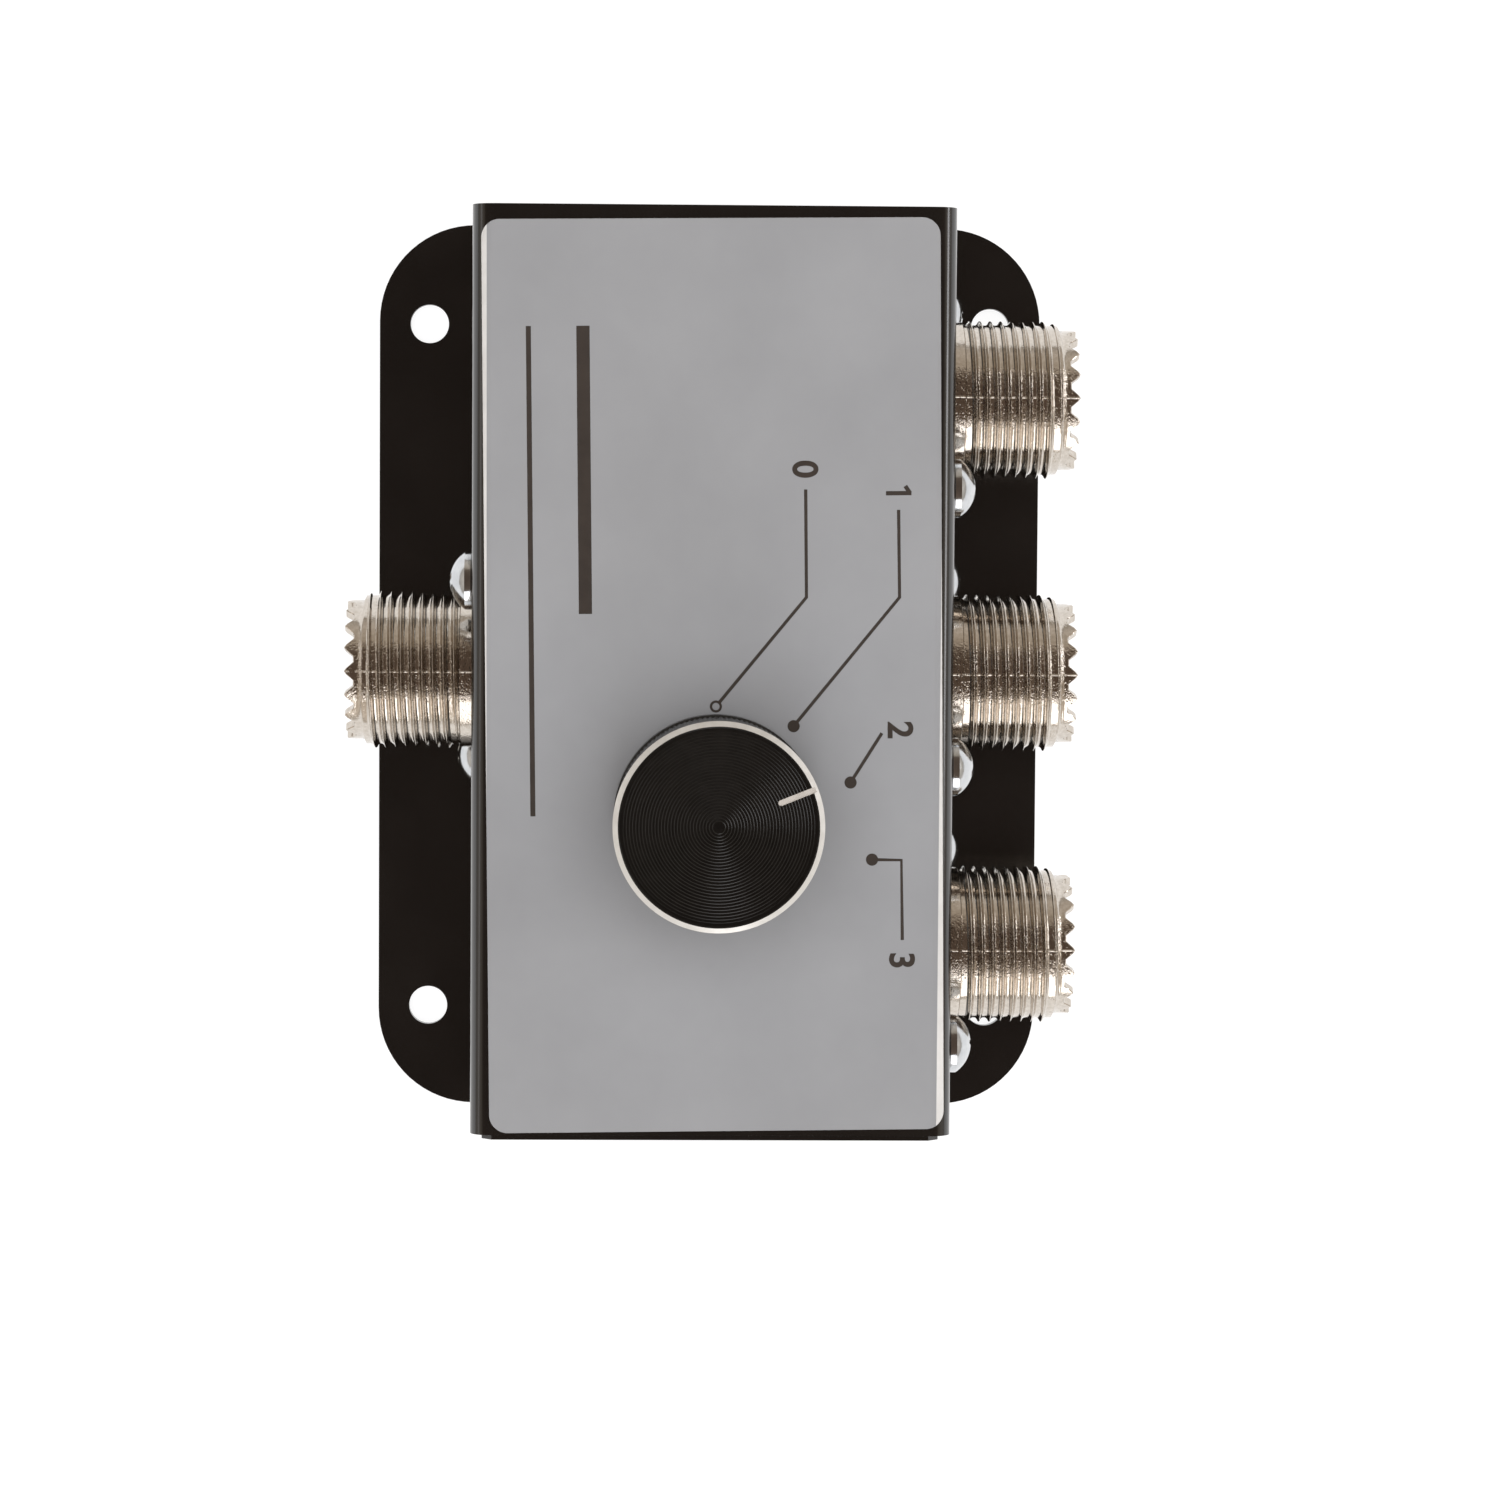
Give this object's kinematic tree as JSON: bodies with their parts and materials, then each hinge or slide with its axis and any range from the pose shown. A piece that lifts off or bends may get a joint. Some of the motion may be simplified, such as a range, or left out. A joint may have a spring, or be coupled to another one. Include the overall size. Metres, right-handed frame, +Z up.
{
  "type": "coaxial antenna switch",
  "caption": "Boxed rotary switch that sends one threaded coaxial socket to any of a row of output sockets, or to none, on an eared base plate.",
  "frame": {"origin": "middle of the base plate's underside", "axes": "+X along the box towards the third output, +Y towards the output sockets, +Z up through the knob"},
  "size_m": [0.092, 0.0734, 0.0481],
  "materials": {
    "black_enamel": "semi-gloss black baked enamel on folded steel sheet",
    "label_film": "silver-grey satin film",
    "nickel_plate": "bright nickel plate",
    "white_ptfe": "white waxy insulator",
    "gold_plate": "gold flash on brass",
    "black_steel": "blackened steel",
    "zinc_plate": "bright zinc plate on steel",
    "die_cast_zinc": "as cast zinc alloy",
    "bright_steel": "turned steel",
    "ivory_nylon": "moulded nylon",
    "phenolic_board": "phenolic paper laminate",
    "silver_plate": "silver plate on brass",
    "brass": "plain brass",
    "tinned_copper": "tinned copper wire",
    "black_anodised": "black anodised aluminium, fine turned face, bright-cut ring and pointer"
  },
  "bodies": {
    "chassis": {"base_plate": "black_enamel", "cover": "black_enamel", "label_film": "label_film", "case_screws": "black_steel", "input_socket_shell": "nickel_plate", "output_1_socket_shell": "nickel_plate", "output_2_socket_shell": "nickel_plate", "output_3_socket_shell": "nickel_plate", "input_socket_insulator": "white_ptfe", "output_1_socket_insulator": "white_ptfe", "output_2_socket_insulator": "white_ptfe", "output_3_socket_insulator": "white_ptfe", "input_socket_contact": "gold_plate", "output_1_socket_contact": "gold_plate", "output_2_socket_contact": "gold_plate", "output_3_socket_contact": "gold_plate", "socket_screws": "zinc_plate", "socket_lock_washers": "zinc_plate", "socket_nuts": "zinc_plate", "switch_frame": "die_cast_zinc", "panel_washer": "zinc_plate", "panel_nut": "zinc_plate", "spacer_tubes": "bright_steel", "tie_screws": "zinc_plate", "stator_wafer": "phenolic_board", "output_contacts": "silver_plate", "common_contact": "silver_plate", "contact_rivets": "brass", "input_wire": "tinned_copper", "output_1_wire": "tinned_copper", "output_2_wire": "tinned_copper", "output_3_wire": "tinned_copper"},
    "selector": {"knob": "black_anodised", "knob_set_screw": "black_steel", "shaft": "bright_steel", "shaft_clips": "bright_steel", "detent_carrier": "ivory_nylon", "detent_balls": "bright_steel", "detent_springs": "bright_steel", "rotor_disc": "phenolic_board", "rotor_blade": "silver_plate", "blade_rivets": "brass"}
  },
  "joints": [
    {"name": "selector_turn", "type": "hinge", "parent": "chassis", "child": "selector", "pos_m": [0.01375, 0.00035, 0.03], "axis": [0, 0, 1], "range_deg": [-30, 60]}
  ]
}
